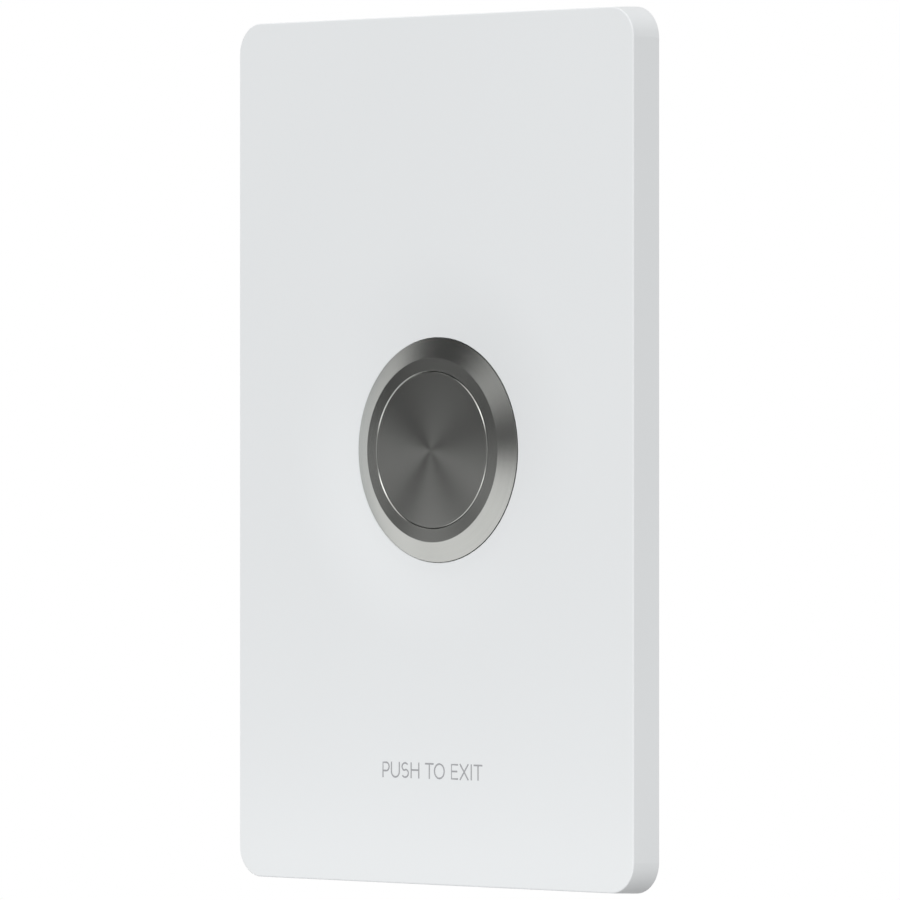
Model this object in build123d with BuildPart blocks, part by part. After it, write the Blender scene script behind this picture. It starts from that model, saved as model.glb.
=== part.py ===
# Door exit button: a moulded wall plate with one metal push button and a double-break contact block.
# The plate snaps over a steel bracket, which is screwed to a single wall box.
#
# Frame: +Z is up and the front faces -Y. The wall is the plane y = 0. The origin is midway between the
# two box screws, on the axis of the button. All sizes are in millimetres.
# A level is a distance forward of the wall: the front of the plate is at level plate_depth, and what
# stands in the wall box has negative levels.

import os
from math import atan, cos, degrees, radians, sin, tan

from build123d import *

# Plate
plate_width = 79.4  # at the front
plate_height = 123.8  # at the front
plate_depth = 5.0
plate_draft = 0.2  # each side of the plate spreads by this from the front to the wall
plate_corner_radius = 4.3
plate_edge_radius = 0.2
plate_front_wall = 2.0
plate_side_wall = 1.6
dish_radius = 28.5  # the front dips in a shallow dish around the button
dish_depth = 1.1
boss_margin = 1.0  # of the boss around the corners of the nut
panel_thickness = 2.2  # what the head and the nut clamp between them
rib_thickness = 1.0
rib_clearance = 0.3
rib_end_gap = 0.6
long_rib_spacing = 52.0
inner_rib_spacing = 66.0
pry_notch_width = 10.0
pry_notch_depth = 1.2

# Snaps that hold the plate on the bracket
catch_width = 8.0
catch_foot = 0.3
catch_lead = 0.2
catch_bite = 0.6
catch_clearance = 0.1
side_catch_pitch = 40.0
end_catch_spacing = 44.0

# Bracket
sheet = 1.5
bracket_clearance = 0.4
bracket_corner_radius = 2.6
window_margin = 2.4  # between the boss and the sides of the window
window_height = 62.0
window_corner_radius = 6.0
box_screw_spacing = 83.3
slot_length = 6.0
slot_width = 4.0
slot_countersink = 0.8
tab_width = 12.0
tab_relief = 1.0
tab_reach = 4.0
tab_lip = 2.6
tab_root = 1.0
tab_clearance = 0.1

# Button housing, turned from one bar
bevel_width = 2.85
head_seat_clearance = 0.1
head_sunk = 1.15
head_rim = 0.1
head_edge_radius = 0.08
ring_width = 1.8
ring_proud = 0.06
thread_radius = 14.0
front_wall = 2.65
rear_wall = 1.6
thread_relief_depth = 0.6
thread_relief_length = 0.8
barrel_length = 18.8
barrel_chamfer = 0.5
panel_hole_clearance = 0.15
web_thickness = 1.8
seal_offset = 0.9  # from the thread to the middle of the head's seal
seal_radius = 0.44
seal_side_gap = 0.06
seal_floor_gap = 0.02

# Button cap
cap_clearance = 0.08
cap_proud = 0.05  # of the rim of the cap's face
cap_crown = 0.22  # rise of the face from its rim to its middle
cap_edge = 0.12
cap_height = 7.2
cap_disc = 2.2
cap_skirt_wall = 1.8
cap_boss_radius = 4.2
cap_boss_gap = 0.9  # left between the boss and the web when the button is pressed
cap_groove_from_front = 2.75
cap_seal_radius = 0.6
cap_seal_side_gap = 0.1
cap_seal_clearance = 0.03
travel = 2.0
stop_gap = 0.05

# Plunger and its retaining ring
stem_radius = 3.0
stem_clearance = 0.08
spigot_radius = 2.5
spigot_length = 3.7
spigot_end_gap = 0.1
clip_radius = 4.6
clip_thickness = 0.6
clip_opening = 3.4
clip_groove_radius = 2.2
clip_clearance = 0.05
stem_tip_radius = 1.6
stem_tip_length = 1.0

# Return spring and contact spring
return_wire = 0.8
return_spring_radius = 6.6
return_spring_turns = 4.75
contact_wire = 0.4
contact_spring_radius = 1.45
contact_spring_turns = 5.25
contact_spring_length = 3.6
spring_end_gap = 0.02

# Lock washer and panel nut
washer_thickness = 0.8
washer_width = 2.8
washer_tooth_depth = 0.9
washer_teeth = 18
washer_gap_angle = 10
nut_wall = 3.0  # from the thread to the flats
nut_thickness = 3.0
nut_bore_clearance = 0.05
nut_face_inset = 0.3
nut_chamfer_angle = 25

# Contact block
clip_room = 0.25
block_clearance = 0.1
block_front_wall = 1.5
collar_step = 0.3
room_side_wall = 2.3
room_height = 12.4
room_corner_radius = 2.5
plug_clearance = 0.1
plug_length = 2.4
base_thickness = 3.2
barrier_thickness = 1.4
barrier_height = 3.4
barrier_inset = 2.6  # from the rim of the base

# Contacts and terminals
strip = 0.6
strip_clearance = 0.05
bend_radius = 0.8
finger_gap = 0.2
finger_side_gap = 1.0
finger_height = 3.0
leg_width = 2.4
leg_side_gap = 1.4
leg_end_gap = 1.1
pad_width = 5.0
pad_beyond_screw = 2.4
pad_corner_radius = 1.2
contact_inset = 1.4
contact_radius = 1.2
contact_height = 0.6
touch_gap = 0.02
bridge_overhang = 1.6
bridge_width = 4.0
bridge_thickness = 0.5
bridge_corner_radius = 1.0
rivet_radius = 0.6

# Contact carrier
carrier_width = 5.6
carrier_height = 6.8
carrier_corner_radius = 0.7
carrier_front_gap = 0.6
carrier_side_gap = 0.15
carrier_foot = 1.2
carrier_room = 0.3  # left behind the carrier when the button is pressed
spring_nub_radius = 0.9
spring_nub_height = 1.2
post_radius = 1.8
post_engagement = 1.0
post_clearance = 0.1
post_end_gap = 0.3

# Terminal screws
screw_beside_leg = 1.3
screw_beyond_leg = 3.0
screw_radius = 1.25
screw_head_radius = 2.15
screw_head_height = 1.5
screw_head_edge = 0.5
screw_length = 3.6
screw_clearance = 0.1
screw_end_gap = 0.4
recess_width = 0.55
recess_length = 2.8
recess_depth = 0.7
clamp_size = 4.4
clamp_thickness = 0.8
clamp_corner_radius = 0.6

# Levels of the head and the clamped boss
room_level = plate_depth - plate_front_wall
dish_level = plate_depth - dish_depth
seat_level = dish_level - head_sunk
rim_level = dish_level + head_rim
ring_level = plate_depth + ring_proud
boss_level = seat_level - panel_thickness
nut_front = boss_level - washer_thickness
nut_back = nut_front - nut_thickness
barrel_end = seat_level - barrel_length
rib_foot = sheet + rib_clearance
tab_rise = room_level - sheet - tab_clearance
catch_front = tab_rise - catch_clearance

# Levels of the cap, the web and the plunger
cap_front = ring_level + cap_proud
cap_disc_back = cap_front - cap_disc
cap_skirt_end = cap_front - cap_height
cap_groove_front = cap_front - cap_groove_from_front
cap_groove_back = cap_groove_front - 2 * (cap_seal_radius + cap_seal_side_gap)
web_front = cap_skirt_end - travel - stop_gap
web_back = web_front - web_thickness
cap_boss_end = web_front + travel + cap_boss_gap
clip_front = web_back - clip_clearance
clip_back = clip_front - clip_thickness

# Levels of the contact block. The closed pair of contacts lies in front of the bridge.
block_front = clip_back - travel - clip_room
room_top = block_front - block_front_wall
closed_finger_front = room_top - finger_gap
closed_contact_back = closed_finger_front - strip - contact_height
bridge_front = closed_contact_back - touch_gap - contact_height
bridge_back = bridge_front - bridge_thickness
open_contact_front = bridge_back - contact_height - travel - touch_gap
open_finger_front = open_contact_front - contact_height
carrier_front = room_top - carrier_front_gap
window_end = bridge_back - contact_spring_length
carrier_end = window_end - carrier_foot
plug_front = carrier_end - travel - carrier_room
post_end = plug_front - post_engagement
collar_end = plug_front - plug_length
base_back = collar_end - base_thickness
pad_back = base_back - strip
clamp_back = pad_back - clamp_thickness
screw_back = clamp_back - screw_head_height

# Radii of the turned pieces
front_bore_radius = thread_radius - front_wall
rear_bore_radius = thread_radius - rear_wall
ring_radius = front_bore_radius + ring_width
head_radius = ring_radius + bevel_width
seat_bore_radius = head_radius + head_seat_clearance
cap_radius = front_bore_radius - cap_clearance
cap_face_radius = cap_radius - cap_edge
seal_ring_radius = thread_radius + seal_offset
cap_seal_ring_radius = front_bore_radius - cap_seal_clearance - cap_seal_radius
stem_bore_radius = stem_radius + stem_clearance
block_radius = rear_bore_radius - block_clearance
collar_radius = thread_radius - collar_step
nut_bore_radius = thread_radius + nut_bore_clearance
nut_flat_radius = thread_radius + nut_wall
nut_corner_radius = nut_flat_radius / cos(radians(30))
boss_radius = nut_corner_radius + boss_margin

# Half widths and heights of the plate, the bracket and the ribs
room_half_width = plate_width / 2 - plate_side_wall
room_half_height = plate_height / 2 - plate_side_wall
bracket_half_width = room_half_width - bracket_clearance
bracket_half_height = room_half_height - bracket_clearance
rib_half_width = bracket_half_width - tab_reach - tab_root - rib_end_gap
rib_half_height = bracket_half_height - tab_reach - tab_root - rib_end_gap
window_width = 2 * (boss_radius + window_margin)

# Places inside the contact block
room_width = 2 * (block_radius - room_side_wall)
leg_outer_x = room_width / 2 - leg_side_gap
leg_x = leg_outer_x - leg_width / 2
leg_z = room_height / 2 - leg_end_gap - strip / 2
finger_inner_x = carrier_width / 2 + finger_side_gap
contact_x = finger_inner_x + contact_inset
bridge_length = 2 * (contact_x + bridge_overhang)
screw_x = leg_x - screw_beside_leg
screw_z = leg_z + screw_beyond_leg
pad_start_z = leg_z + bend_radius
pad_end_z = screw_z + pad_beyond_screw

# A turned profile is drawn with the radius along x and the level along y.
forward = Vector(0, -1, 0)
turning_plane = Plane(origin=(0, 0, 0), x_dir=(1, 0, 0), z_dir=(0, 0, -1))


def at_level(level):
    """The plane parallel to the wall at this level, facing forward, with x across and y up."""
    return Plane.XZ.offset(level)


def section_plane(outward, along):
    """A plane square to the wall, with x pointing outward from the axis and y forward."""
    outward = Vector(outward)
    sideways = outward.cross(forward)
    return Plane(origin=sideways * along, x_dir=outward, z_dir=sideways)


# Places of the snaps: outward direction, half the size of the bracket there, distance along the edge
snap_places = [
    ((side, 0, 0), bracket_half_width, step * side_catch_pitch)
    for side in (-1, 1)
    for step in (-1, 0, 1)
]
snap_places += [
    ((0, 0, side), bracket_half_height, step * end_catch_spacing / 2)
    for side in (-1, 1)
    for step in (-1, 1)
]

# Front cover, a moulded shell that is open at the back
with BuildPart() as front_cover:
    with BuildSketch(at_level(0)):
        RectangleRounded(
            plate_width + 2 * plate_draft,
            plate_height + 2 * plate_draft,
            plate_corner_radius + plate_draft,
        )
    extrude(amount=plate_depth, taper=degrees(atan(plate_draft / plate_depth)))
    fillet(front_cover.faces().sort_by(Axis.Y)[0].edges(), plate_edge_radius)
    with BuildSketch(at_level(0)):
        room_corner = plate_corner_radius - plate_side_wall
        RectangleRounded(2 * room_half_width, 2 * room_half_height, room_corner)
    extrude(amount=room_level, mode=Mode.SUBTRACT)
    # Ribs stiffen the front wall between the tabs of the bracket.
    with BuildSketch(at_level(rib_foot)):
        with GridLocations(long_rib_spacing, 0, 2, 1):
            Rectangle(rib_thickness, 2 * rib_half_height)
        for spacing in (inner_rib_spacing, 2 * rib_half_height):
            with GridLocations(0, spacing, 1, 2):
                Rectangle(2 * rib_half_width, rib_thickness)
    extrude(amount=room_level - rib_foot)
    # The boss takes the clamping force of the nut.
    with BuildSketch(at_level(boss_level)):
        Circle(boss_radius)
    extrude(amount=room_level - boss_level)
    with BuildSketch(turning_plane):
        with BuildLine():
            TangentArc((dish_radius, plate_depth), (seat_bore_radius, dish_level), tangent=(-1, 0))
            Polyline(
                (seat_bore_radius, dish_level),
                (0, dish_level),
                (0, plate_depth),
                (dish_radius, plate_depth),
            )
        make_face()
    revolve(axis=Axis.Y, mode=Mode.SUBTRACT)
    # The head of the button is sunk in a counterbore at the bottom of the dish.
    with Locations(at_level(dish_level)):
        CounterBoreHole(
            radius=thread_radius + panel_hole_clearance,
            counter_bore_radius=seat_bore_radius,
            counter_bore_depth=head_sunk,
            depth=plate_depth,
        )
    # Catches on the walls hook behind the raised tabs of the bracket.
    for outward, reach, along in snap_places:
        with BuildSketch(section_plane(outward, along)):
            with BuildLine():
                Polyline(
                    (reach + bracket_clearance, catch_front),
                    (reach - catch_bite, catch_front),
                    (reach - catch_bite, catch_front - catch_lead),
                    (reach + bracket_clearance, catch_foot),
                    close=True,
                )
            make_face()
        extrude(amount=catch_width / 2, both=True)
    # A screwdriver in this notch in the bottom edge prises the cover off.
    with BuildSketch(at_level(0)):
        with Locations((0, (plate_side_wall - plate_draft - plate_height) / 2)):
            Rectangle(pry_notch_width, plate_side_wall + plate_draft)
    extrude(amount=pry_notch_depth, mode=Mode.SUBTRACT)

# Mounting bracket, pressed from sheet steel
with BuildPart() as mounting_bracket:
    with BuildSketch(at_level(0)):
        RectangleRounded(2 * bracket_half_width, 2 * bracket_half_height, bracket_corner_radius)
        RectangleRounded(window_width, window_height, window_corner_radius, mode=Mode.SUBTRACT)
        with GridLocations(0, box_screw_spacing, 1, 2):
            SlotOverall(slot_length, slot_width, rotation=90, mode=Mode.SUBTRACT)
    extrude(amount=sheet)
    bracket_front = mounting_bracket.faces().sort_by(Axis.Y)[0]
    slot_rims = bracket_front.inner_wires().sort_by(SortBy.LENGTH)[0:2]
    chamfer([edge for rim in slot_rims for edge in rim.edges()], slot_countersink)
    # Each tab is cut free at both sides and bent forward, so that a catch can get behind it.
    for outward, reach, along in snap_places:
        with BuildSketch(section_plane(outward, along)):
            with Locations((reach - tab_reach / 2, sheet / 2)):
                Rectangle(tab_reach, sheet)
        extrude(amount=tab_width / 2 + tab_relief, both=True, mode=Mode.SUBTRACT)
        with BuildSketch(section_plane(outward, along)):
            with BuildLine():
                root = reach - tab_reach
                knee = reach - tab_lip
                Polyline(
                    (root - tab_root, 0),
                    (root, 0),
                    (knee, tab_rise),
                    (reach, tab_rise),
                    (reach, tab_rise + sheet),
                    (knee - sheet / 2, tab_rise + sheet),
                    (root - sheet / 2, sheet),
                    (root - tab_root, sheet),
                    close=True,
                )
            make_face()
        extrude(amount=tab_width / 2, both=True)

# Button housing: the bevelled head and the threaded barrel in one piece
with BuildPart() as button_housing:
    with BuildSketch(turning_plane):
        with BuildLine():
            groove_in = seal_ring_radius - seal_radius - seal_side_gap
            groove_out = seal_ring_radius + seal_radius + seal_side_gap
            groove_front = seat_level + 2 * seal_radius + seal_floor_gap
            relief = thread_radius - thread_relief_depth
            relief_end = seat_level - thread_relief_length
            Polyline(
                (front_bore_radius, ring_level),
                (ring_radius, ring_level),
                (head_radius, rim_level),
                (head_radius, seat_level),
                (groove_out, seat_level),
                (groove_out, groove_front),
                (groove_in, groove_front),
                (groove_in, seat_level),
                (relief, seat_level),
                (relief, relief_end),
                (thread_radius, relief_end - thread_relief_depth),
                (thread_radius, barrel_end + barrel_chamfer),
                (thread_radius - barrel_chamfer, barrel_end),
                (rear_bore_radius, barrel_end),
                (rear_bore_radius, web_back),
                (stem_bore_radius, web_back),
                (stem_bore_radius, web_front),
                (front_bore_radius, web_front),
                close=True,
            )
        make_face()
    revolve(axis=Axis.Y)
    fillet(button_housing.edges().filter_by(GeomType.CIRCLE).group_by(Axis.Y)[0], head_edge_radius)

# Seal under the head
with BuildPart() as head_seal:
    with BuildSketch(turning_plane):
        with Locations((seal_ring_radius, seat_level + seal_radius)):
            Circle(seal_radius)
    revolve(axis=Axis.Y)

# Lock washer with internal teeth
with BuildPart() as lock_washer:
    with BuildSketch(at_level(nut_front)):
        tooth_root_radius = nut_bore_radius + washer_tooth_depth
        Circle(thread_radius + washer_width)
        Circle(nut_bore_radius, mode=Mode.SUBTRACT)
        with PolarLocations(nut_bore_radius, washer_teeth):
            gap_width = tooth_root_radius * sin(radians(washer_gap_angle))
            Rectangle(2 * washer_tooth_depth, gap_width, mode=Mode.SUBTRACT)
    extrude(amount=washer_thickness)

# Panel nut, with its rear corners turned off
with BuildPart() as panel_nut:
    with BuildSketch(at_level(nut_back)):
        RegularPolygon(nut_flat_radius, 6, major_radius=False)
        Circle(nut_bore_radius, mode=Mode.SUBTRACT)
    extrude(amount=nut_thickness)
    with BuildSketch(turning_plane):
        with BuildLine():
            face_radius = nut_flat_radius - nut_face_inset
            chamfer_rise = (nut_corner_radius - face_radius) * tan(radians(nut_chamfer_angle))
            Polyline(
                (0, nut_back),
                (face_radius, nut_back),
                (nut_corner_radius, nut_back + chamfer_rise),
                (nut_corner_radius, nut_front),
                (0, nut_front),
                close=True,
            )
        make_face()
    revolve(axis=Axis.Y, mode=Mode.INTERSECT)

# Button cap, a cup with a crowned face and a skirt that slides in the housing
with BuildPart() as button_cap:
    with BuildSketch(turning_plane):
        with BuildLine():
            groove_floor = cap_seal_ring_radius - cap_seal_radius - seal_floor_gap
            skirt_inside = cap_radius - cap_skirt_wall
            spigot_hole_end = cap_boss_end + spigot_length + spigot_end_gap
            crown = ThreePointArc(
                (0, cap_front + cap_crown),
                (cap_face_radius / 2, cap_front + cap_crown * 3 / 4),
                (cap_face_radius, cap_front),
            )
            Polyline(
                crown @ 1,
                (cap_radius, cap_front - cap_edge),
                (cap_radius, cap_groove_front),
                (groove_floor, cap_groove_front),
                (groove_floor, cap_groove_back),
                (cap_radius, cap_groove_back),
                (cap_radius, cap_skirt_end),
                (skirt_inside, cap_skirt_end),
                (skirt_inside, cap_disc_back),
                (cap_boss_radius, cap_disc_back),
                (cap_boss_radius, cap_boss_end),
                (spigot_radius, cap_boss_end),
                (spigot_radius, spigot_hole_end),
                (0, spigot_hole_end),
                crown @ 0,
            )
        make_face()
    revolve(axis=Axis.Y)

# Seal around the cap
with BuildPart() as cap_seal:
    with BuildSketch(turning_plane):
        with Locations((cap_seal_ring_radius, (cap_groove_front + cap_groove_back) / 2)):
            Circle(cap_seal_radius)
    revolve(axis=Axis.Y)

# Plunger, pressed into the cap at the front and into the contact carrier at the back
with BuildPart() as plunger:
    with BuildSketch(turning_plane):
        with BuildLine():
            Polyline(
                (0, cap_boss_end + spigot_length),
                (spigot_radius, cap_boss_end + spigot_length),
                (spigot_radius, cap_boss_end),
                (stem_radius, cap_boss_end),
                (stem_radius, clip_front),
                (clip_groove_radius, clip_front),
                (clip_groove_radius, clip_back),
                (stem_radius, clip_back),
                (stem_radius, carrier_front),
                (stem_tip_radius, carrier_front),
                (stem_tip_radius, carrier_front - stem_tip_length),
                (0, carrier_front - stem_tip_length),
                close=True,
            )
        make_face()
    revolve(axis=Axis.Y)

# Retaining ring, which stops the plunger behind the web of the housing
with BuildPart() as retaining_ring:
    with BuildSketch(at_level(clip_back)):
        Circle(clip_radius)
        Circle(clip_groove_radius, mode=Mode.SUBTRACT)
        with Locations((0, -clip_radius / 2)):
            Rectangle(clip_opening, clip_radius, mode=Mode.SUBTRACT)
    extrude(amount=clip_thickness)


def coil_spring(front, back, radius, wire, turns):
    """A compression spring between two levels, with its ends ground flat."""
    length = front - back
    with BuildPart() as spring:
        with BuildLine():
            helix = Helix(length / turns, length, radius, center=(0, -front, 0), direction=(0, 1, 0))
        with BuildSketch(Plane(origin=helix @ 0, z_dir=helix % 0)):
            Circle(wire / 2)
        sweep(is_frenet=True)
        # The half wires beyond the two levels are ground off, so that the spring stands square.
        with BuildSketch(at_level(back)):
            Circle(radius + wire)
        extrude(amount=length, mode=Mode.INTERSECT)
    return spring


return_spring = coil_spring(
    cap_disc_back - spring_end_gap,
    web_front + spring_end_gap,
    return_spring_radius,
    return_wire,
    return_spring_turns,
)

contact_spring = coil_spring(
    bridge_back - spring_end_gap,
    window_end + spring_end_gap,
    contact_spring_radius,
    contact_wire,
    contact_spring_turns,
)

# Contact housing, the front half of the contact block
with BuildPart() as contact_housing:
    with BuildSketch(at_level(barrel_end)):
        Circle(block_radius)
    extrude(amount=block_front - barrel_end)
    with BuildSketch(at_level(collar_end)):
        Circle(collar_radius)
    extrude(amount=barrel_end - collar_end)
    with BuildSketch(at_level(collar_end)):
        RectangleRounded(room_width, room_height, room_corner_radius)
    extrude(amount=room_top - collar_end, mode=Mode.SUBTRACT)
    with Locations(at_level(block_front)):
        Hole(radius=stem_bore_radius, depth=2 * block_front_wall)

# Terminal base, which closes the contact block and carries the terminals
with BuildPart() as terminal_base:
    with BuildSketch(at_level(base_back)):
        Circle(collar_radius)
    extrude(amount=base_thickness)
    with BuildSketch(at_level(collar_end)):
        RectangleRounded(
            room_width - 2 * plug_clearance,
            room_height - 2 * plug_clearance,
            room_corner_radius - plug_clearance,
        )
    extrude(amount=plug_length)
    # A cross of barriers keeps the four wires apart.
    with BuildSketch(at_level(base_back - barrier_height)):
        Rectangle(2 * collar_radius, barrier_thickness)
        Rectangle(barrier_thickness, 2 * collar_radius)
        Circle(collar_radius - barrier_inset, mode=Mode.INTERSECT)
    extrude(amount=barrier_height)
    # Each leg has a slot, which is relieved at its mouth for the bend to the screw pad.
    with BuildSketch(at_level(base_back)):
        with GridLocations(2 * leg_x, 2 * leg_z, 2, 2):
            Rectangle(leg_width + 2 * strip_clearance, strip + 2 * strip_clearance)
    extrude(amount=plug_front - base_back, mode=Mode.SUBTRACT)
    with BuildSketch(at_level(base_back)):
        with GridLocations(2 * leg_x, 2 * leg_z + bend_radius, 2, 2):
            Rectangle(leg_width + 2 * strip_clearance, bend_radius + 2 * strip_clearance)
    extrude(amount=bend_radius, mode=Mode.SUBTRACT)
    with BuildSketch(at_level(base_back)):
        with GridLocations(2 * screw_x, 2 * screw_z, 2, 2):
            Circle(screw_radius + screw_clearance)
    extrude(amount=screw_length - strip - clamp_thickness + screw_end_gap, mode=Mode.SUBTRACT)
    # A blind bore guides the post of the contact carrier.
    post_bore_end = post_end - travel - post_end_gap
    with BuildSketch(at_level(post_bore_end)):
        Circle(post_radius + post_clearance)
    extrude(amount=plug_front - post_bore_end, mode=Mode.SUBTRACT)


def bent_terminal(side, row, finger_front):
    """A terminal: a contact finger in the room, a leg through the base and a screw pad behind it."""
    finger_middle = finger_front - strip / 2
    pad_middle = base_back - strip / 2
    with BuildPart() as terminal:
        with BuildSketch(section_plane((0, 0, row), side * row * leg_x)):
            with BuildLine():
                FilletPolyline(
                    (-finger_height / 2, finger_middle),
                    (leg_z, finger_middle),
                    (leg_z, pad_middle),
                    (pad_end_z, pad_middle),
                    radius=bend_radius,
                )
            trace(line_width=strip)
        extrude(amount=leg_width / 2, both=True)
        with BuildSketch(at_level(finger_front - strip)):
            with Locations((side * (finger_inner_x + leg_outer_x) / 2, 0)):
                Rectangle(leg_outer_x - finger_inner_x, finger_height)
        extrude(amount=strip)
        with BuildSketch(at_level(pad_back)):
            with Locations((side * screw_x, row * (pad_start_z + pad_end_z) / 2)):
                RectangleRounded(pad_width, pad_end_z - pad_start_z, pad_corner_radius)
        extrude(amount=strip)
        with BuildSketch(at_level(pad_back)):
            with Locations((side * screw_x, row * screw_z)):
                Circle(screw_radius + screw_clearance)
        extrude(amount=strip, mode=Mode.SUBTRACT)
    return terminal


normally_closed_terminal_left = bent_terminal(-1, 1, closed_finger_front)
normally_closed_terminal_right = bent_terminal(1, 1, closed_finger_front)
normally_open_terminal_left = bent_terminal(-1, -1, open_finger_front)
normally_open_terminal_right = bent_terminal(1, -1, open_finger_front)

# Fixed contacts, four silver discs on the fingers
with BuildPart() as fixed_contacts:
    for contact_back in (closed_contact_back, open_finger_front):
        with BuildSketch(at_level(contact_back)):
            with GridLocations(2 * contact_x, 0, 2, 1):
                Circle(contact_radius)
        extrude(amount=contact_height)

# Contact bridge
with BuildPart() as contact_bridge:
    with BuildSketch(at_level(bridge_back)):
        RectangleRounded(bridge_length, bridge_width, bridge_corner_radius)
        with GridLocations(2 * contact_x, 0, 2, 1):
            Circle(rivet_radius, mode=Mode.SUBTRACT)
    extrude(amount=bridge_thickness)

# Bridge contacts, two silver rivets with a head on each side of the bridge
with BuildPart() as bridge_contacts:
    for contact_back in (bridge_front, bridge_back - contact_height):
        with BuildSketch(at_level(contact_back)):
            with GridLocations(2 * contact_x, 0, 2, 1):
                Circle(contact_radius)
        extrude(amount=contact_height)
    with BuildSketch(at_level(bridge_back)):
        with GridLocations(2 * contact_x, 0, 2, 1):
            Circle(rivet_radius)
    extrude(amount=bridge_thickness)

# Contact carrier, which takes the bridge along in its window
with BuildPart() as contact_carrier:
    with BuildSketch(at_level(carrier_end)):
        RectangleRounded(carrier_width, carrier_height, carrier_corner_radius)
    extrude(amount=carrier_front - carrier_end)
    with BuildSketch(section_plane((0, 0, 1), 0)):
        with Locations((0, (bridge_front + window_end) / 2)):
            Rectangle(bridge_width + 2 * carrier_side_gap, bridge_front - window_end)
    extrude(amount=carrier_width, both=True, mode=Mode.SUBTRACT)
    with BuildSketch(at_level(window_end)):
        Circle(spring_nub_radius)
    extrude(amount=spring_nub_height)
    with BuildSketch(at_level(post_end)):
        Circle(post_radius)
    extrude(amount=carrier_end - post_end)
    with Locations(at_level(carrier_front)):
        Hole(radius=stem_tip_radius, depth=stem_tip_length)

# Clamp washers, one square plate under each terminal screw
with BuildPart() as clamp_washers:
    with BuildSketch(at_level(clamp_back)):
        with GridLocations(2 * screw_x, 2 * screw_z, 2, 2):
            RectangleRounded(clamp_size, clamp_size, clamp_corner_radius)
            Circle(screw_radius + screw_clearance, mode=Mode.SUBTRACT)
    extrude(amount=clamp_thickness)

# Terminal screws with a cross recess
with BuildPart() as terminal_screws:
    with BuildSketch(at_level(clamp_back)):
        with GridLocations(2 * screw_x, 2 * screw_z, 2, 2):
            Circle(screw_radius)
    extrude(amount=screw_length)
    with BuildSketch(at_level(screw_back)):
        with GridLocations(2 * screw_x, 2 * screw_z, 2, 2):
            Circle(screw_head_radius)
    extrude(amount=screw_head_height)
    head_rims = terminal_screws.edges().filter_by(GeomType.CIRCLE).group_by(Axis.Y)[-1]
    fillet(head_rims, screw_head_edge)
    with BuildSketch(at_level(screw_back)):
        with GridLocations(2 * screw_x, 2 * screw_z, 2, 2):
            Rectangle(recess_length, recess_width)
            Rectangle(recess_width, recess_length)
    extrude(amount=recess_depth, mode=Mode.SUBTRACT)

pieces = {
    "front_cover": front_cover,
    "mounting_bracket": mounting_bracket,
    "button_housing": button_housing,
    "head_seal": head_seal,
    "lock_washer": lock_washer,
    "panel_nut": panel_nut,
    "button_cap": button_cap,
    "cap_seal": cap_seal,
    "plunger": plunger,
    "retaining_ring": retaining_ring,
    "return_spring": return_spring,
    "contact_housing": contact_housing,
    "terminal_base": terminal_base,
    "normally_closed_terminal_left": normally_closed_terminal_left,
    "normally_closed_terminal_right": normally_closed_terminal_right,
    "normally_open_terminal_left": normally_open_terminal_left,
    "normally_open_terminal_right": normally_open_terminal_right,
    "fixed_contacts": fixed_contacts,
    "contact_bridge": contact_bridge,
    "bridge_contacts": bridge_contacts,
    "contact_carrier": contact_carrier,
    "contact_spring": contact_spring,
    "clamp_washers": clamp_washers,
    "terminal_screws": terminal_screws,
}

os.makedirs("parts", exist_ok=True)
for name, piece in pieces.items():
    piece.part.label = name
    export_step(piece.part, f"parts/{name}.step")
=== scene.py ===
# Door exit button: a moulded wall plate on a steel bracket, with one metal push button that works a
# contact block in the wall box. The front faces -Y and +Z is up. Sizes are in millimetres and are brought
# to the frame's metres by the factor mm. A level is a distance forward of the wall.

from math import cos, hypot, pi, radians, sin

import bmesh
import bpy
from mathutils import Euler, Matrix, Vector


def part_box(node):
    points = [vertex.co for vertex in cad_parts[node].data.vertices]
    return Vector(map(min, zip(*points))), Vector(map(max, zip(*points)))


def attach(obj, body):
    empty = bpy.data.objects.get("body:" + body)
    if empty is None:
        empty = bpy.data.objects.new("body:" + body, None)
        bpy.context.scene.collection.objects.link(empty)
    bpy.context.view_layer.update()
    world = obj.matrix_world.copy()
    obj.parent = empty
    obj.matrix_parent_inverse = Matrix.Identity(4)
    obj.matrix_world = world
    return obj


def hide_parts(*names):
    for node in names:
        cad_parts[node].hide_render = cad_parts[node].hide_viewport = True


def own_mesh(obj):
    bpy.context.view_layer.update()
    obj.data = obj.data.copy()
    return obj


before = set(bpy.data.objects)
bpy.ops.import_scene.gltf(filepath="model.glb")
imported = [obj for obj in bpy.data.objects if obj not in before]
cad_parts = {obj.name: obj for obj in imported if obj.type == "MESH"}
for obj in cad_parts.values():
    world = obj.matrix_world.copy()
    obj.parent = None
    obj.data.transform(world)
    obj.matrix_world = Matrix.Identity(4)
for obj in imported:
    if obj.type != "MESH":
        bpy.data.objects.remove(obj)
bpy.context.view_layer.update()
mm = 0.001

# Mounting bracket, pressed from 1.5 mm steel sheet and plated with zinc, which leaves faint cloudy patches.
# Two screws hold it on the wall box, and its ten raised tabs take the catches of the cover. The lock washer
# behind the boss of the cover is plated in the same way.


def node(tree, kind, inputs=None, **settings):
    """A shader node with its settings, and a value or another node's output on each input that is named."""
    made = tree.nodes.new("ShaderNode" + kind)
    for setting, value in settings.items():
        setattr(made, setting, value)
    for name, value in (inputs or {}).items():
        if isinstance(value, bpy.types.NodeSocket):
            tree.links.new(value, made.inputs[name])
        else:
            made.inputs[name].default_value = value
    return made


def mixed(tree, factor, first, second):
    """The colour between two colours, by a factor that varies over the surface."""
    return node(tree, "Mix", {0: factor, 6: (*first, 1), 7: (*second, 1)}, data_type="RGBA").outputs[2]


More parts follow.
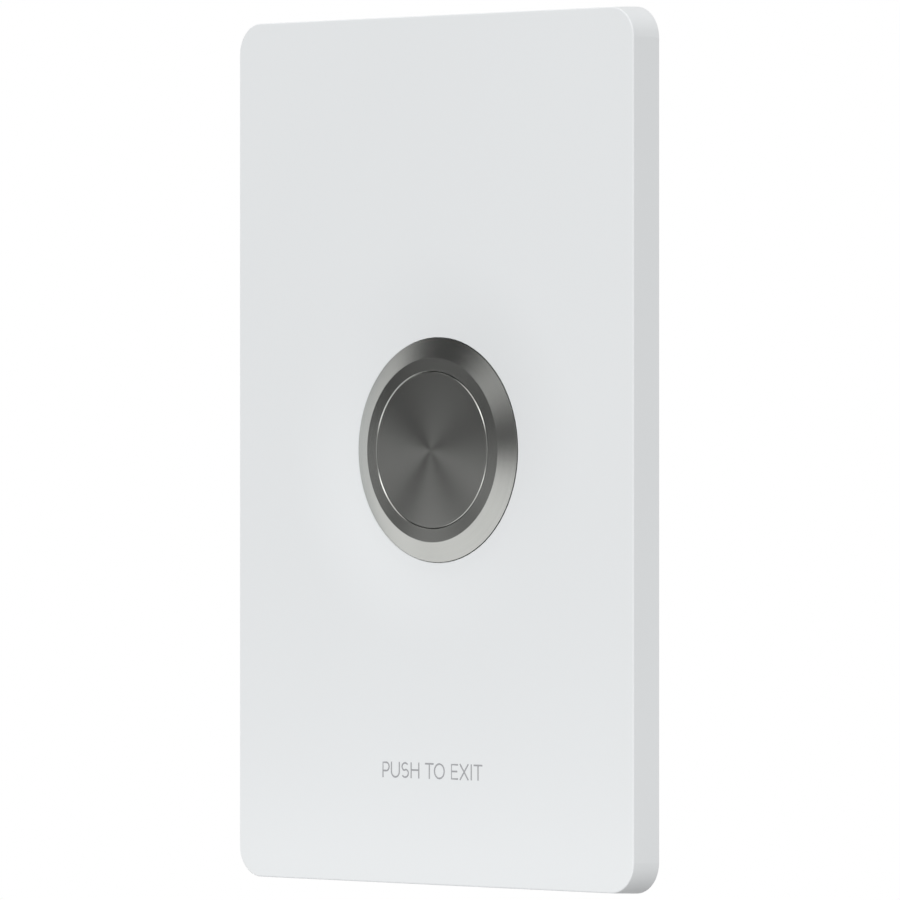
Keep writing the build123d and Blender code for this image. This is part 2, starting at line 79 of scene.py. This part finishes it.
def ranged(tree, value, low, high):
    """A value from 0 to 1, spread between low and high."""
    return node(tree, "MapRange", {"Value": value, "To Min": low, "To Max": high}).outputs["Result"]


def new_group(name, inputs, outputs):
    """A shader node group with named inputs and outputs, as its tree, its input and its output sockets."""
    tree = bpy.data.node_groups.new(name, "ShaderNodeTree")
    for label, value in inputs.items():
        socket = tree.interface.new_socket(name=label, in_out="INPUT", socket_type="NodeSocketFloat")
        socket.default_value = value
    for label in outputs:
        tree.interface.new_socket(name=label, in_out="OUTPUT", socket_type="NodeSocketFloat")
    return tree, tree.nodes.new("NodeGroupInput").outputs, tree.nodes.new("NodeGroupOutput").inputs


def new_material(name, metallic=0.0):
    """A material with one Principled BSDF."""
    made = bpy.data.materials.new(name)
    made.use_nodes = True
    shader = made.node_tree.nodes["Principled BSDF"]
    shader.inputs["Metallic"].default_value = metallic
    return made, made.node_tree, shader.inputs


def dress(material, *names):
    """Gives the CAD nodes with these names a material."""
    for name in names:
        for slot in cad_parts[name].material_slots:
            slot.material = material


# Cloudy patches and fine grain, as plating, rolling or tarnish leaves on sheet metal and wire.
plating, given, wanted = new_group("plating", {"Patch Scale": 200, "Grain Scale": 4000}, ["Patches", "Grain"])
place = node(plating, "TexCoord").outputs["Object"]
patches = node(plating, "TexNoise", {"Vector": place, "Scale": given["Patch Scale"], "Detail": 5})
grain = node(plating, "TexNoise", {"Vector": place, "Scale": given["Grain Scale"], "Detail": 2})
plating.links.new(patches.outputs["Fac"], wanted["Patches"])
plating.links.new(grain.outputs["Fac"], wanted["Grain"])


def plated(name, dark, light, rough, patch_scale, grain_scale, grain_height):
    """A metal whose colour and roughness vary in patches, with a fine grain."""
    made, tree, shader = new_material(name, metallic=1)
    scales = {"Patch Scale": patch_scale, "Grain Scale": grain_scale}
    marks = node(tree, "Group", scales, node_tree=plating).outputs
    tree.links.new(mixed(tree, marks["Patches"], dark, light), shader["Base Color"])
    tree.links.new(ranged(tree, marks["Patches"], rough[0], rough[1]), shader["Roughness"])
    bump = node(tree, "Bump", {"Height": marks["Grain"], "Strength": 0.5, "Distance": grain_height})
    tree.links.new(bump.outputs["Normal"], shader["Normal"])
    return made


zinc = plated(
    "zinc plated steel",
    dark=(0.50, 0.53, 0.57),
    light=(0.78, 0.77, 0.74),
    rough=(0.28, 0.46),
    patch_scale=120,
    grain_scale=2500,
    grain_height=0.01 * mm,
)
dress(zinc, "mounting_bracket", "lock_washer")

# Front cover, moulded in white plastic with a satin, finely eroded surface. It is a shell with ribs, and a
# boss that the button is clamped to. It snaps over the tabs of the bracket.

# The fine pebbles of an eroded mould, with a slow drift in tone as the plastic flowed.
moulding, given, wanted = new_group("moulding", {"Pebble Scale": 3000}, ["Height", "Tone"])
place = node(moulding, "TexCoord").outputs["Object"]
pebbles = node(moulding, "TexNoise", {"Vector": place, "Scale": given["Pebble Scale"], "Detail": 3})
tone = node(moulding, "TexNoise", {"Vector": place, "Scale": 25, "Detail": 2})
moulding.links.new(pebbles.outputs["Fac"], wanted["Height"])
moulding.links.new(tone.outputs["Fac"], wanted["Tone"])


def moulded(name, dark, light, rough, pebble_scale, pebble_height):
    """A moulded plastic or rubber with a fine pebbled surface."""
    made, tree, shader = new_material(name)
    marks = node(tree, "Group", {"Pebble Scale": pebble_scale}, node_tree=moulding).outputs
    tree.links.new(mixed(tree, marks["Tone"], dark, light), shader["Base Color"])
    tree.links.new(ranged(tree, marks["Height"], rough[0], rough[1]), shader["Roughness"])
    bump = node(tree, "Bump", {"Height": marks["Height"], "Strength": 0.5, "Distance": pebble_height})
    tree.links.new(bump.outputs["Normal"], shader["Normal"])
    return made


white_plastic = moulded(
    "white plastic",
    dark=(0.782, 0.80, 0.81),
    light=(0.797, 0.815, 0.825),
    rough=(0.40, 0.50),
    pebble_scale=4000,
    pebble_height=0.004 * mm,
)
dress(white_plastic, "front_cover")

# Legend, printed in grey ink on the cover, below the button. Its strokes have one width, and the words say
# what the button does.
letter_height = 2.27
stroke_width = 0.25
ink_height = 0.02
legend_left = -10.1
legend_bottom = -46.83
first_word = [("P", 0), ("U", 1.73), ("S", 3.85), ("H", 5.72)]
second_word = [("T", 8.66), ("O", 10.45)]
third_word = [("E", 13.86), ("X", 15.59), ("I", 17.8), ("T", 18.44)]


def arc(x, z, width, height, start, end):
    """Points on an ellipse about x, z from one angle to another, in degrees."""
    angles = [radians(start + (end - start) * step / 16) for step in range(17)]
    return [(x + width / 2 * cos(angle), z + height / 2 * sin(angle)) for angle in angles]


ink, tree, shader = new_material("grey ink")
marks = node(tree, "Group", {"Pebble Scale": 6000}, node_tree=moulding).outputs
tree.links.new(mixed(tree, marks["Height"], (0.34, 0.345, 0.36), (0.40, 0.405, 0.42)), shader["Base Color"])
shader["Roughness"].default_value = 0.55

top = letter_height - stroke_width / 2
foot = stroke_width / 2
waist = letter_height * 0.52
letters = {
    "P": [[(foot, 0), (foot, top), *arc(0.8, top - 0.59, 1.14, 1.18, 90, -90), (foot, top - 1.18)]],
    "U": [[(foot, letter_height), *arc(0.915, 0.9, 1.61, 1.58, 180, 360), (1.72, letter_height)]],
    "S": [arc(0.77, top - 0.53, 1.22, 1.06, 35, 250) + arc(0.77, foot + 0.56, 1.32, 1.12, 75, -145)],
    "H": [
        [(foot, 0), (foot, letter_height)],
        [(1.68, 0), (1.68, letter_height)],
        [(foot, waist), (1.68, waist)],
    ],
    "T": [[(0, top), (1.73, top)], [(0.865, 0), (0.865, top)]],
    "O": [arc(1.095, letter_height / 2, 1.97, 2.07, 0, 360)],
    "E": [[(1.44, top), (foot, top), (foot, foot), (1.44, foot)], [(foot, waist), (1.3, waist)]],
    "X": [[(0.1, 0), (1.77, letter_height)], [(0.1, letter_height), (1.77, 0)]],
    "I": [[(0.15, 0), (0.15, letter_height)]],
}
strokes = bpy.data.curves.new("legend strokes", "CURVE")
strokes.dimensions = "3D"
strokes.bevel_depth = stroke_width / 2 * mm
strokes.bevel_resolution = 2
strokes.use_fill_caps = True
for letter, left in first_word + second_word + third_word:
    for points in letters[letter]:
        spline = strokes.splines.new("POLY")
        spline.points.add(len(points) - 1)
        for point, (x, z) in zip(spline.points, points):
            point.co = ((legend_left + left + x) * mm, 0, (legend_bottom + z) * mm, 1)
drawn = bpy.data.objects.new("legend strokes", strokes)
legend_mesh = bpy.data.meshes.new_from_object(drawn)
bpy.data.objects.remove(drawn)
legend_mesh.transform(Matrix.Scale(2 * ink_height / stroke_width, 4, (0, 1, 0)))
legend_mesh.transform(Matrix.Translation((0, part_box("front_cover")[0].y, 0)))
legend_mesh.materials.clear()
legend_mesh.materials.append(ink)
legend = bpy.data.objects.new("legend", legend_mesh)
bpy.context.scene.collection.objects.link(legend)
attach(legend, "plate")

# Button housing, turned from one bar of stainless steel, with a flat ring, a bevelled head and a threaded
# barrel. Fine grooves from the tool run round every face. The nut clamps it to the boss of the cover.
ring_level = 5.06
rim_level = 4.02
seat_level = 2.75
bore_radius = 11.35
lip_radius = 11.21
lip_depth = 2.6
lip_edge = 0.08
lip_edge_depth = 0.11
ring_crown = 0.06
ring_radius = 13.15
head_radius = 15.98
thread_radius = 14.0
thread_root_radius = 13.42
thread_pitch = 1.0
thread_relief = 0.8
rear_bore_radius = 12.4
barrel_end = -16.05
barrel_chamfer = 0.5
web_front = -4.14
web_back = -5.94
stem_bore_radius = 3.08
seal_groove_inner = 14.4
seal_groove_outer = 15.4
seal_groove_depth = 0.9


def reckoned(tree, operation, first, second):
    """The result of one step of arithmetic on two values."""
    return node(tree, "Math", {0: first, 1: second}, operation=operation).outputs[0]


def off_axis(tree):
    """The place on a piece, and its offset from the axis of the button."""
    place = node(tree, "TexCoord").outputs["Object"]
    return place, node(tree, "VectorMath", {0: place, 1: (1, 0, 1)}, operation="MULTIPLY").outputs[0]


# Fine grooves round the axis, with slow bands where the feed of the tool changed.
turning_sizes = {"Groove Scale": 9000, "Groove Height": 0, "Front Lean": 0, "Side Lean": 0}
turning, given, wanted = new_group("turning marks", turning_sizes, ["Surface", "Bands"])
place, offset = off_axis(turning)
radius = node(turning, "VectorMath", {0: offset}, operation="LENGTH").outputs["Value"]
depth = node(turning, "SeparateXYZ", {0: place}).outputs["Y"]
along = reckoned(turning, "ADD", radius, depth)
grooves = {"W": along, "Scale": given["Groove Scale"], "Detail": 2}
bands = {"W": along, "Scale": 2400, "Detail": 3}
groove_noise = node(turning, "TexNoise", grooves, noise_dimensions="1D").outputs["Fac"]
band_noise = node(turning, "TexNoise", bands, noise_dimensions="1D").outputs["Fac"]
turning.links.new(band_noise, wanted["Bands"])
# The tool leaves grooves with one steep side, so that the faced front shines as if it leaned outward.
faced = reckoned(turning, "MINIMUM", radius, ring_radius * mm)
beyond = reckoned(turning, "SUBTRACT", radius, faced)
front_lean = reckoned(turning, "MULTIPLY", faced, given["Front Lean"])
side_lean = reckoned(turning, "MULTIPLY", beyond, given["Side Lean"])
leaned = reckoned(turning, "ADD", front_lean, side_lean)
grooved = reckoned(turning, "MULTIPLY", groove_noise, given["Groove Height"])
turning.links.new(reckoned(turning, "SUBTRACT", grooved, leaned), wanted["Surface"])


def turned_steel(name, dark, light, rough, groove_height, front_lean=0, side_lean=0):
    """Stainless steel with turning marks, which draw out its highlights across the grooves."""
    made, tree, shader = new_material(name, metallic=1)
    sizes = {"Groove Height": groove_height, "Front Lean": front_lean, "Side Lean": side_lean}
    marks = node(tree, "Group", sizes, node_tree=turning).outputs
    tree.links.new(mixed(tree, marks["Bands"], dark, light), shader["Base Color"])
    tree.links.new(ranged(tree, marks["Bands"], rough[0], rough[1]), shader["Roughness"])
    bump = node(tree, "Bump", {"Height": marks["Surface"], "Strength": 1, "Distance": 1})
    tree.links.new(bump.outputs["Normal"], shader["Normal"])
    shader["Anisotropic"].default_value = 0.214
    # The direction across the grooves is outward on a flat face and along the axis on the barrel.
    offset = off_axis(tree)[1]
    outward = node(tree, "VectorMath", {0: offset}, operation="NORMALIZE").outputs[0]
    across = node(tree, "VectorMath", {0: outward, 1: (0, 1, 0)}, operation="ADD").outputs[0]
    tree.links.new(across, shader["Tangent"])
    return made


def turned(outline, steps=256):
    """A solid turned from an outline of (radius, level) points."""
    shape = bmesh.new()
    corners = [shape.verts.new((radius * mm, -level * mm, 0)) for radius, level in outline]
    solid_core = outline[0][0] == outline[-1][0] == 0
    for first, second in zip(corners, corners[1:] if solid_core else corners[1:] + corners[:1]):
        shape.edges.new((first, second))
    bmesh.ops.spin(
        shape,
        geom=shape.verts[:] + shape.edges[:],
        cent=(0, 0, 0),
        axis=(0, 1, 0),
        angle=2 * pi,
        steps=steps,
        use_merge=True,
    )
    bmesh.ops.remove_doubles(shape, verts=shape.verts, dist=0.001 * mm)
    bmesh.ops.recalc_face_normals(shape, faces=shape.faces)
    return shape


def new_piece(name, shape, material, body, slot, *nodes):
    """An object from a bmesh, smooth but for its edges. It rides on a body and stands for CAD nodes."""
    mesh = bpy.data.meshes.new(name)
    shape.to_mesh(mesh)
    shape.free()
    mesh.shade_smooth()
    mesh.set_sharp_from_angle(angle=radians(15))
    mesh.materials.append(material)
    piece = bpy.data.objects.new(name, mesh)
    bpy.context.scene.collection.objects.link(piece)
    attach(piece, body)
    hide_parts(*nodes)
    return piece


stainless = turned_steel(
    "turned stainless",
    dark=(0.565, 0.572, 0.548),
    light=(0.605, 0.612, 0.588),
    rough=(0.215, 0.235),
    groove_height=0.0003 * mm,
    front_lean=0.193,
    side_lean=0.056,
)
housing_outline = [
    (bore_radius, ring_level - lip_depth),
    (lip_radius, ring_level - lip_depth),
    (lip_radius, ring_level + ring_crown - lip_edge_depth),
    (lip_radius + lip_edge, ring_level + ring_crown),
    (ring_radius, ring_level),
    (head_radius, rim_level),
    (head_radius, seat_level),
    (seal_groove_outer, seat_level),
    (seal_groove_outer, seat_level + seal_groove_depth),
    (seal_groove_inner, seat_level + seal_groove_depth),
    (seal_groove_inner, seat_level),
    (thread_root_radius, seat_level),
    (thread_root_radius, barrel_end),
    (rear_bore_radius, barrel_end),
    (rear_bore_radius, web_back),
    (stem_bore_radius, web_back),
    (stem_bore_radius, web_front),
    (bore_radius, web_front),
]
housing = turned(housing_outline)
new_piece("turned_housing", housing, stainless, "plate", "turned_stainless", "button_housing")

# The thread is one helical ridge on the core of the barrel, worn down to the chamfer at its end.
thread_start = seat_level - thread_relief - thread_pitch
last_turn_left_out = 0.3
turns = (thread_start - barrel_end) / thread_pitch - last_turn_left_out
steps_per_turn = 96
steps = round(turns * steps_per_turn)
thread = bmesh.new()
ridge_foot = 0.94
ridge_crest = 0.14
ridge_sink = 0.05
ridge = [
    (thread_root_radius - ridge_sink, ridge_foot / 2),
    (thread_radius, ridge_crest / 2),
    (thread_radius, -ridge_crest / 2),
    (thread_root_radius - ridge_sink, -ridge_foot / 2),
]
corners = [thread.verts.new((radius * mm, (offset - thread_start) * mm, 0)) for radius, offset in ridge]
for first, second in zip(corners, corners[1:] + corners[:1]):
    thread.edges.new((first, second))
bmesh.ops.spin(
    thread,
    geom=thread.verts[:] + thread.edges[:],
    cent=(0, 0, 0),
    axis=(0, 1, 0),
    dvec=(0, thread_pitch * mm / steps_per_turn, 0),
    angle=2 * pi * steps / steps_per_turn,
    steps=steps,
)
bmesh.ops.holes_fill(thread, edges=[edge for edge in thread.edges if edge.is_boundary])
bmesh.ops.recalc_face_normals(thread, faces=thread.faces)
chamfer_start = (-barrel_end - barrel_chamfer) * mm
for vert in thread.verts:
    radius = hypot(vert.co.x, vert.co.z)
    limit = thread_radius * mm - max(0, vert.co.y - chamfer_start)
    if radius > limit:
        vert.co.x *= limit / radius
        vert.co.z *= limit / radius
new_piece("barrel_thread", thread, stainless, "plate", "turned_stainless")

# Seals, two rings of black rubber with a dull skin. One lies in the groove under the head and one round the
# cap, and they keep rain and dust out of the button.
rubber = moulded(
    "black rubber",
    dark=(0.012, 0.012, 0.012),
    light=(0.03, 0.03, 0.03),
    rough=(0.55, 0.75),
    pebble_scale=5000,
    pebble_height=0.01 * mm,
)
dress(rubber, "head_seal", "cap_seal")

# Panel nut, turned and faced from hexagon bar of stainless steel. It clamps the housing to the cover, with
# the lock washer under it.
nut_steel = turned_steel(
    "nut stainless",
    dark=(0.52, 0.52, 0.51),
    light=(0.64, 0.64, 0.63),
    rough=(0.26, 0.36),
    groove_height=0.002 * mm,
)
dress(nut_steel, "panel_nut")

# Button cap, a turned stainless cup whose slightly crowned front is pressed. Its skirt slides in the bore of
# the housing and its edge is broken to a narrow bright line.
cap_front = 5.11
cap_crown = 0.22
cap_radius = 11.14
cap_edge = 0.09
cap_edge_depth = 0.07
cap_end = -2.09
seal_seat_radius = 10.1
seal_seat_front = 2.36
seal_seat_back = 0.96
cup_radius = 9.47
cup_floor = 2.91
stem_radius = 4.2
stem_end = -1.24
stem_bore = 2.5
stem_bore_floor = 2.56
face_radius = cap_radius - cap_edge
crown_steps = 12
cap_outline = [
    (face_radius * step / crown_steps, cap_front + cap_crown * (1 - (step / crown_steps) ** 2))
    for step in range(crown_steps + 1)
]
cap_outline += [
    (cap_radius, cap_front - cap_edge_depth),
    (cap_radius, seal_seat_front),
    (seal_seat_radius, seal_seat_front),
    (seal_seat_radius, seal_seat_back),
    (cap_radius, seal_seat_back),
    (cap_radius, cap_end),
    (cup_radius, cap_end),
    (cup_radius, cup_floor),
    (stem_radius, cup_floor),
    (stem_radius, stem_end),
    (stem_bore, stem_end),
    (stem_bore, stem_bore_floor),
    (0, stem_bore_floor),
]
cap = turned(cap_outline)
new_piece("turned_cap", cap, stainless, "button", "turned_stainless", "button_cap")

# Plunger and contact carrier, moulded in white acetal. The plunger is pressed into the cap and takes the
# carrier along.
acetal = moulded(
    "white acetal",
    dark=(0.74, 0.74, 0.70),
    light=(0.82, 0.82, 0.78),
    rough=(0.30, 0.40),
    pebble_scale=2500,
    pebble_height=0.003 * mm,
)
dress(acetal, "plunger", "contact_carrier")

# Return spring, contact spring and retaining ring, made of bright drawn spring steel. The return spring is
# squeezed between the cap and the web when the button is pressed.
spring_steel = plated(
    "spring steel",
    dark=(0.40, 0.40, 0.41),
    light=(0.58, 0.58, 0.58),
    rough=(0.18, 0.30),
    patch_scale=900,
    grain_scale=9000,
    grain_height=0.002 * mm,
)
dress(spring_steel, "retaining_ring", "contact_spring")
spring_low, spring_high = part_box("return_spring")
wire_radius = 0.4 * mm
coil_radius = 6.6 * mm
coil_turns = 4.75
coil_steps = 48
spring = bmesh.new()
coil_start = Matrix.Translation((coil_radius, spring_low.y, 0))
bmesh.ops.create_circle(spring, radius=wire_radius, segments=32, matrix=coil_start)
bmesh.ops.spin(
    spring,
    geom=spring.verts[:] + spring.edges[:],
    cent=(0, 0, 0),
    axis=(0, 1, 0),
    dvec=(0, (spring_high.y - spring_low.y) / (coil_turns * coil_steps), 0),
    angle=2 * pi * coil_turns,
    steps=round(coil_turns * coil_steps),
)
for level, outward in ((spring_low.y, -1), (spring_high.y, 1)):
    bmesh.ops.bisect_plane(
        spring,
        geom=spring.verts[:] + spring.edges[:] + spring.faces[:],
        plane_co=(0, level, 0),
        plane_no=(0, outward, 0),
        clear_outer=True,
    )
bmesh.ops.holes_fill(spring, edges=[edge for edge in spring.edges if edge.is_boundary])
bmesh.ops.recalc_face_normals(spring, faces=spring.faces)
coil = new_piece("coiled_return_spring", spring, spring_steel, "plate", "spring_steel", "return_spring")
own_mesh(coil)

# Contact block, moulded in two halves of glass-filled nylon, the front one black and the rear one grey. The
# rear half carries the terminals, with a cross of barriers between the wires.
black_nylon = moulded(
    "black nylon",
    dark=(0.018, 0.018, 0.020),
    light=(0.034, 0.034, 0.036),
    rough=(0.42, 0.60),
    pebble_scale=2600,
    pebble_height=0.012 * mm,
)
grey_nylon = moulded(
    "grey nylon",
    dark=(0.13, 0.13, 0.14),
    light=(0.17, 0.17, 0.18),
    rough=(0.42, 0.60),
    pebble_scale=2600,
    pebble_height=0.012 * mm,
)
dress(black_nylon, "contact_housing")
dress(grey_nylon, "terminal_base")

# Terminals and contact bridge, stamped and bent from half-hard brass strip that has dulled a little. They
# lead the current from the wires to the contacts.
brass = plated(
    "brass strip",
    dark=(0.58, 0.42, 0.17),
    light=(0.80, 0.63, 0.31),
    rough=(0.22, 0.38),
    patch_scale=350,
    grain_scale=6000,
    grain_height=0.004 * mm,
)
dress(brass, "contact_bridge")
for state in ("closed", "open"):
    dress(brass, f"normally_{state}_terminal_left", f"normally_{state}_terminal_right")

# Contacts, headed from silver wire. Four are on the fingers of the terminals and two are rivets in the
# bridge.
silver = plated(
    "contact silver",
    dark=(0.70, 0.68, 0.64),
    light=(0.90, 0.89, 0.86),
    rough=(0.20, 0.36),
    patch_scale=1500,
    grain_scale=9000,
    grain_height=0.003 * mm,
)
dress(silver, "fixed_contacts", "bridge_contacts")

# Terminal screws and their square clamp washers, cold-headed and punched in steel and plated with nickel.
# They hold the wires down on the terminals.
nickel = plated(
    "nickel plated steel",
    dark=(0.56, 0.53, 0.48),
    light=(0.76, 0.73, 0.67),
    rough=(0.20, 0.34),
    patch_scale=700,
    grain_scale=7000,
    grain_height=0.003 * mm,
)
dress(nickel, "clamp_washers", "terminal_screws")

# Studio: a small pale floor below the part, which stays out of the main view, and soft lights. The
# background is white.
scene = bpy.context.scene
scene.view_settings.view_transform = "Standard"
floor_level = -0.2
floor_radius = 1.3
ground = bmesh.new()
floor_place = Matrix.Translation((0, 0, floor_level))
bmesh.ops.create_circle(ground, cap_ends=True, radius=floor_radius, segments=96, matrix=floor_place)
floor_mesh = bpy.data.meshes.new("floor")
ground.to_mesh(floor_mesh)
ground.free()
floor_paint, tree, shader = new_material("floor paint")
shader["Base Color"].default_value = (0.86, 0.86, 0.86, 1)
shader["Roughness"].default_value = 0.8
floor_mesh.materials.append(floor_paint)
floor = bpy.data.objects.new("floor", floor_mesh)
floor.visible_diffuse = False
floor.visible_glossy = False
scene.collection.objects.link(floor)

world = bpy.data.worlds.new("studio")
scene.world = world
world.use_nodes = True
tree = world.node_tree
direction = node(tree, "TexCoord").outputs["Generated"]
toward = node(tree, "SeparateXYZ", {0: direction}).outputs


def soft_step(value, start, full, strength):
    """A value that rises smoothly from 0 at start to a strength at full."""
    spread = {"Value": value, "From Min": start, "From Max": full, "To Max": strength}
    return node(tree, "MapRange", spread, interpolation_type="SMOOTHSTEP").outputs["Result"]


def aimed(azimuth, elevation):
    """The turn from the front to an azimuth and an elevation in degrees, and the line that way."""
    turn = (radians(-elevation), 0, radians(azimuth))
    return turn, Euler(turn).to_matrix() @ Vector((0, -1, 0))


def soft_box(room, strength, azimuth, elevation, half_width, half_height):
    """The room and one more soft-edged patch of light, with its half width and height at a distance of 1."""
    turn, line = aimed(azimuth, elevation)
    box = {"Vector": direction, "Location": line, "Rotation": turn, "Scale": (half_width, 1, half_height)}
    placed = node(tree, "Mapping", box, vector_type="TEXTURE").outputs[0]
    glow = node(tree, "TexGradient", {"Vector": placed}, gradient_type="SPHERICAL").outputs["Fac"]
    return reckoned(tree, "ADD", room, soft_step(glow, 0, 1, strength))


# What shines reflects a pale floor and a dark room, with a high and a low soft box on the left and in front,
# a high and a faint level one on the right, and a narrow one between those on the left. The numbers of this
# room and its boxes come from a fit to the light on the metal in the photo, and are mostly just rounded.
room_level = 0.058
floor_glow = 0.92
floor_starts = -0.295
floor_full = -0.54
room = reckoned(tree, "ADD", soft_step(toward["Z"], floor_starts, floor_full, floor_glow), room_level)
room = soft_box(room, 4.3, azimuth=-108, elevation=35, half_width=0.65, half_height=0.7)
room = soft_box(room, 3.4, azimuth=-107, elevation=-28, half_width=0.7, half_height=0.55)
room = soft_box(room, 1.5, azimuth=7, elevation=50, half_width=0.58, half_height=0.77)
room = soft_box(room, 2.2, azimuth=20, elevation=-23, half_width=0.6, half_height=0.55)
room = soft_box(room, 3.0, azimuth=38, elevation=37, half_width=0.4, half_height=0.4)
room = soft_box(room, 0.45, azimuth=48, elevation=4, half_width=0.45, half_height=0.4)
room = soft_box(room, 0.85, azimuth=-85, elevation=0, half_width=0.2, half_height=0.3)
# Four faint ones, near the direction that the cap mirrors, give the spokes on it.
room = soft_box(room, 0.26, azimuth=-42, elevation=11, half_width=0.4, half_height=0.2)
room = soft_box(room, 0.28, azimuth=-66, elevation=-3, half_width=0.15, half_height=0.25)
room = soft_box(room, 0.22, azimuth=-21, elevation=-9, half_width=0.25, half_height=0.4)
room = soft_box(room, 0.22, azimuth=-56, elevation=-18, half_width=0.4, half_height=0.1)
# Behind the part is the pale background.
background_paint = (0.9, 0.9, 0.9, 1)
background_starts = -0.05
background_full = 0.25
behind = soft_step(toward["Y"], background_starts, background_full, 1)
reflected = node(tree, "Mix", {0: behind, 6: room, 7: background_paint}, data_type="RGBA").outputs[2]
# Dull surfaces are lit by a soft sky that is a little stronger from above and from the right, and that fades
# below the horizon.
sky_level = 0.606
sky_right = 0.25
sky_above = 0.15
sky_below = 0.52
rising = reckoned(tree, "MULTIPLY", reckoned(tree, "MAXIMUM", toward["Z"], 0), sky_above)
falling = reckoned(tree, "MULTIPLY", reckoned(tree, "MINIMUM", toward["Z"], 0), sky_below)
sideways = reckoned(tree, "MULTIPLY", toward["X"], sky_right)
slant = reckoned(tree, "ADD", reckoned(tree, "ADD", rising, falling), sideways)
sky = reckoned(tree, "ADD", slant, sky_level)
rays = node(tree, "LightPath").outputs
lit = node(tree, "Mix", {0: rays["Is Glossy Ray"], 6: sky, 7: reflected}, data_type="RGBA")
seen = reckoned(tree, "MAXIMUM", rays["Is Camera Ray"], rays["Is Transmission Ray"])
white = (1, 1, 1, 1)
shown = node(tree, "Mix", {0: seen, 6: lit.outputs[2], 7: white}, data_type="RGBA")
tree.links.new(shown.outputs[2], tree.nodes["Background"].inputs["Color"])
world.cycles.sampling_method = "NONE"


def area_light(name, place, facing, width, height, power):
    """A rectangular lamp at a place, facing a direction. Only its light is seen, not the lamp."""
    lamp = bpy.data.lights.new(name, "AREA")
    lamp.shape = "RECTANGLE"
    lamp.size = width
    lamp.size_y = height
    lamp.energy = power
    holder = bpy.data.objects.new(name, lamp)
    holder.location = place
    holder.rotation_mode = "QUATERNION"
    holder.rotation_quaternion = Vector(facing).to_track_quat("-Z", "Y")
    holder.visible_camera = False
    holder.visible_glossy = False
    scene.collection.objects.link(holder)


# The key lamp stands in front and a weak one hangs overhead. Two strips stand for the pale table close in
# front and on the right. The numbers of these lamps and of the sky come from a like fit to the plate, with
# some powers trimmed after renders.
key_distance = 1.4
key_line = aimed(7.3, 3.8)[1]
area_light("key", key_distance * key_line, -key_line, width=0.7, height=0.7, power=9.65)
area_light("overhead", (0.02, -0.07, 1.0), (0, 0, -1), width=0.3, height=0.3, power=1.45)
area_light("front table", (-0.0305, -0.0235, -0.066), (0, 0, 1), width=0.175, height=0.031, power=0.0050)
area_light("right table", (0.144, 0, -0.066), (0, 0, 1), width=0.17, height=0.06, power=0.0102)

# The camera looks level at the button from 45 degrees to its right, through a long lens.
camera_distance = 1.2904
camera_aim = Vector((-0.705, -0.705, 0.01)) * mm
view_line = Vector((1, -1, 0)).normalized()
lens = bpy.data.cameras.new("camera")
lens.lens = 361.5
lens.sensor_width = 36
camera = bpy.data.objects.new("camera", lens)
camera.location = camera_aim + view_line * camera_distance
camera.rotation_mode = "QUATERNION"
camera.rotation_quaternion = view_line.to_track_quat("Z", "Y")
scene.collection.objects.link(camera)
scene.camera = camera
